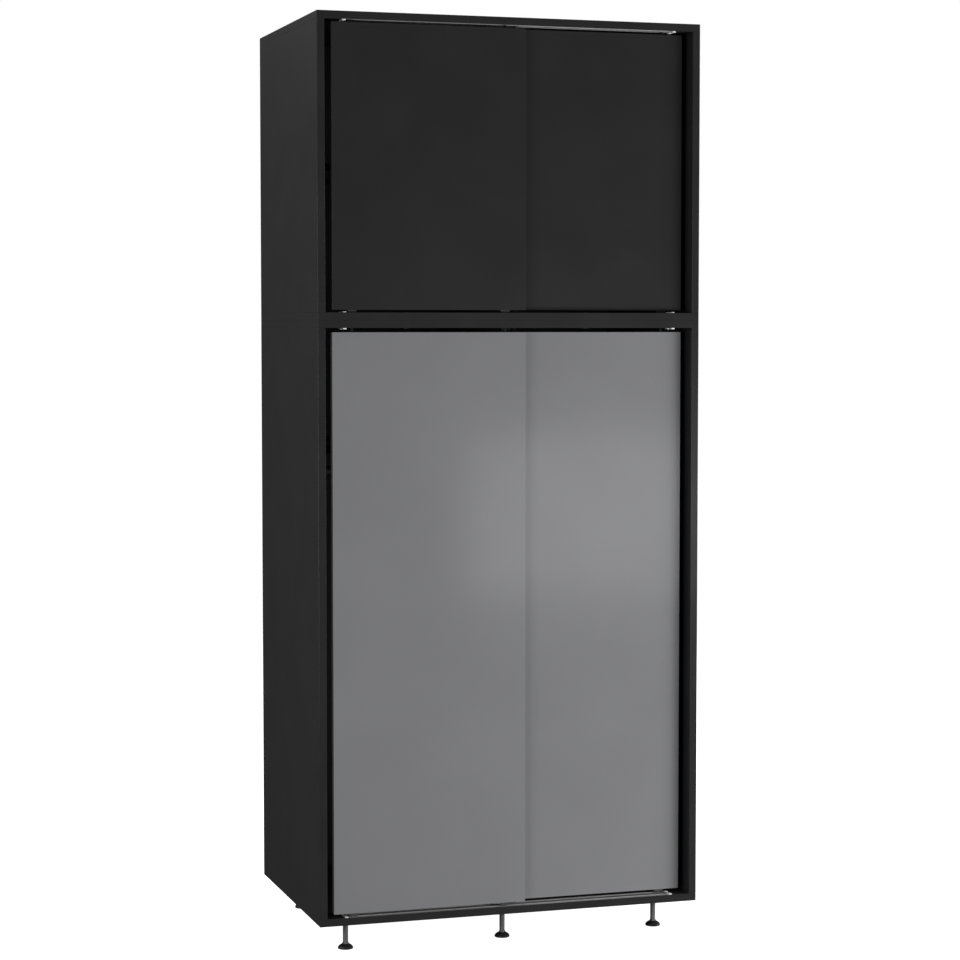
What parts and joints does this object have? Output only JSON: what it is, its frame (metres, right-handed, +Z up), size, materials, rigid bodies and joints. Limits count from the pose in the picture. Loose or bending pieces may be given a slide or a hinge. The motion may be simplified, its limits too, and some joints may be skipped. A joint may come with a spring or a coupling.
{
  "type": "sliding door wardrobe",
  "caption": "Tall free-standing wardrobe of two stacked carcasses, each closed by a pair of bypassing sliding doors, on adjustable feet.",
  "frame": {"origin": "on the floor, under the middle of the carcass", "axes": "+X to the right seen from the front, +Y to the back, +Z up"},
  "size_m": [1, 0.64, 2.328],
  "materials": {
    "carcass_board": "black melamine-faced board, satin",
    "back_board": "thin black lacquered board",
    "grey_gloss_door": "grey high gloss laminate on board",
    "black_satin_door": "black satin laminate on board",
    "track_aluminium": "satin anodised",
    "rail_steel": "black powder-coated steel tube",
    "spindle_steel": "zinc plated threaded rod",
    "roller_nylon": "moulded nylon",
    "pad_plastic": "moulded plastic"
  },
  "bodies": {
    "carcass": {"lower_bottom_panel": "carcass_board", "lower_top_panel": "carcass_board", "lower_left_side": "carcass_board", "lower_right_side": "carcass_board", "upper_bottom_panel": "carcass_board", "upper_top_panel": "carcass_board", "upper_left_side": "carcass_board", "upper_right_side": "carcass_board", "lower_back_panel": "back_board", "upper_back_panel": "back_board", "lower_divider": "carcass_board", "upper_divider": "carcass_board", "hat_shelf": "carcass_board", "lower_shelf_1": "carcass_board", "lower_shelf_2": "carcass_board", "lower_shelf_3": "carcass_board", "upper_shelf_left": "carcass_board", "upper_shelf_right": "carcass_board", "hanging_rail": "rail_steel", "rail_socket_left": "rail_steel", "rail_socket_right": "rail_steel", "lower_bottom_track": "track_aluminium", "lower_top_track": "track_aluminium", "upper_bottom_track": "track_aluminium", "upper_top_track": "track_aluminium"},
    "lower_front_door": {"lower_front_door": "grey_gloss_door", "lower_front_door_guide_left": "roller_nylon", "lower_front_door_guide_right": "roller_nylon"},
    "lower_rear_door": {"lower_rear_door": "grey_gloss_door", "lower_rear_door_guide_left": "roller_nylon", "lower_rear_door_guide_right": "roller_nylon"},
    "upper_front_door": {"upper_front_door": "black_satin_door", "upper_front_door_guide_left": "roller_nylon", "upper_front_door_guide_right": "roller_nylon"},
    "upper_rear_door": {"upper_rear_door": "black_satin_door", "upper_rear_door_guide_left": "roller_nylon", "upper_rear_door_guide_right": "roller_nylon"},
    "lower_front_door_roller_left": {"lower_front_door_roller_left": "roller_nylon"},
    "lower_front_door_roller_right": {"lower_front_door_roller_right": "roller_nylon"},
    "lower_rear_door_roller_left": {"lower_rear_door_roller_left": "roller_nylon"},
    "lower_rear_door_roller_right": {"lower_rear_door_roller_right": "roller_nylon"},
    "upper_front_door_roller_left": {"upper_front_door_roller_left": "roller_nylon"},
    "upper_front_door_roller_right": {"upper_front_door_roller_right": "roller_nylon"},
    "upper_rear_door_roller_left": {"upper_rear_door_roller_left": "roller_nylon"},
    "upper_rear_door_roller_right": {"upper_rear_door_roller_right": "roller_nylon"},
    "foot_front_left": {"foot_spindle_front_left": "spindle_steel", "foot_pad_front_left": "pad_plastic"},
    "foot_front_middle": {"foot_spindle_front_middle": "spindle_steel", "foot_pad_front_middle": "pad_plastic"},
    "foot_front_right": {"foot_spindle_front_right": "spindle_steel", "foot_pad_front_right": "pad_plastic"},
    "foot_rear_left": {"foot_spindle_rear_left": "spindle_steel", "foot_pad_rear_left": "pad_plastic"},
    "foot_rear_middle": {"foot_spindle_rear_middle": "spindle_steel", "foot_pad_rear_middle": "pad_plastic"},
    "foot_rear_right": {"foot_spindle_rear_right": "spindle_steel", "foot_pad_rear_right": "pad_plastic"}
  },
  "joints": [
    {"name": "lower_front_door_slide", "type": "slide", "parent": "carcass", "child": "lower_front_door", "axis": [1, 0, 0], "range_m": [0, 0.4275]},
    {"name": "lower_rear_door_slide", "type": "slide", "parent": "carcass", "child": "lower_rear_door", "axis": [1, 0, 0], "range_m": [-0.4275, 0]},
    {"name": "upper_front_door_slide", "type": "slide", "parent": "carcass", "child": "upper_front_door", "axis": [1, 0, 0], "range_m": [0, 0.4275]},
    {"name": "upper_rear_door_slide", "type": "slide", "parent": "carcass", "child": "upper_rear_door", "axis": [1, 0, 0], "range_m": [-0.4275, 0]},
    {"name": "lower_front_door_roller_left_turn", "type": "hinge", "parent": "lower_front_door", "child": "lower_front_door_roller_left", "pos_m": [-0.411, -0.3065, 0.11], "axis": [0, 1, 0], "continuous": true},
    {"name": "lower_front_door_roller_right_turn", "type": "hinge", "parent": "lower_front_door", "child": "lower_front_door_roller_right", "pos_m": [-0.0165, -0.3065, 0.11], "axis": [0, 1, 0], "continuous": true},
    {"name": "lower_rear_door_roller_left_turn", "type": "hinge", "parent": "lower_rear_door", "child": "lower_rear_door_roller_left", "pos_m": [0.0165, -0.2795, 0.11], "axis": [0, 1, 0], "continuous": true},
    {"name": "lower_rear_door_roller_right_turn", "type": "hinge", "parent": "lower_rear_door", "child": "lower_rear_door_roller_right", "pos_m": [0.411, -0.2795, 0.11], "axis": [0, 1, 0], "continuous": true},
    {"name": "upper_front_door_roller_left_turn", "type": "hinge", "parent": "upper_front_door", "child": "upper_front_door_roller_left", "pos_m": [-0.411, -0.3065, 1.61], "axis": [0, 1, 0], "continuous": true},
    {"name": "upper_front_door_roller_right_turn", "type": "hinge", "parent": "upper_front_door", "child": "upper_front_door_roller_right", "pos_m": [-0.0165, -0.3065, 1.61], "axis": [0, 1, 0], "continuous": true},
    {"name": "upper_rear_door_roller_left_turn", "type": "hinge", "parent": "upper_rear_door", "child": "upper_rear_door_roller_left", "pos_m": [0.0165, -0.2795, 1.61], "axis": [0, 1, 0], "continuous": true},
    {"name": "upper_rear_door_roller_right_turn", "type": "hinge", "parent": "upper_rear_door", "child": "upper_rear_door_roller_right", "pos_m": [0.411, -0.2795, 1.61], "axis": [0, 1, 0], "continuous": true},
    {"name": "foot_front_left_height", "type": "slide", "parent": "carcass", "child": "foot_front_left", "axis": [0, 0, -1], "range_m": [-0.005, 0.008]},
    {"name": "foot_front_middle_height", "type": "slide", "parent": "carcass", "child": "foot_front_middle", "axis": [0, 0, -1], "range_m": [-0.005, 0.008]},
    {"name": "foot_front_right_height", "type": "slide", "parent": "carcass", "child": "foot_front_right", "axis": [0, 0, -1], "range_m": [-0.005, 0.008]},
    {"name": "foot_rear_left_height", "type": "slide", "parent": "carcass", "child": "foot_rear_left", "axis": [0, 0, -1], "range_m": [-0.005, 0.008]},
    {"name": "foot_rear_middle_height", "type": "slide", "parent": "carcass", "child": "foot_rear_middle", "axis": [0, 0, -1], "range_m": [-0.005, 0.008]},
    {"name": "foot_rear_right_height", "type": "slide", "parent": "carcass", "child": "foot_rear_right", "axis": [0, 0, -1], "range_m": [-0.005, 0.008]}
  ],
  "couplings": [
    {"joint": "lower_front_door_roller_left_turn", "follows": "lower_front_door_slide", "rad_per_m": 67.568},
    {"joint": "lower_front_door_roller_right_turn", "follows": "lower_front_door_slide", "rad_per_m": 67.568},
    {"joint": "lower_rear_door_roller_left_turn", "follows": "lower_rear_door_slide", "rad_per_m": 67.568},
    {"joint": "lower_rear_door_roller_right_turn", "follows": "lower_rear_door_slide", "rad_per_m": 67.568},
    {"joint": "upper_front_door_roller_left_turn", "follows": "upper_front_door_slide", "rad_per_m": 67.568},
    {"joint": "upper_front_door_roller_right_turn", "follows": "upper_front_door_slide", "rad_per_m": 67.568},
    {"joint": "upper_rear_door_roller_left_turn", "follows": "upper_rear_door_slide", "rad_per_m": 67.568},
    {"joint": "upper_rear_door_roller_right_turn", "follows": "upper_rear_door_slide", "rad_per_m": 67.568}
  ]
}
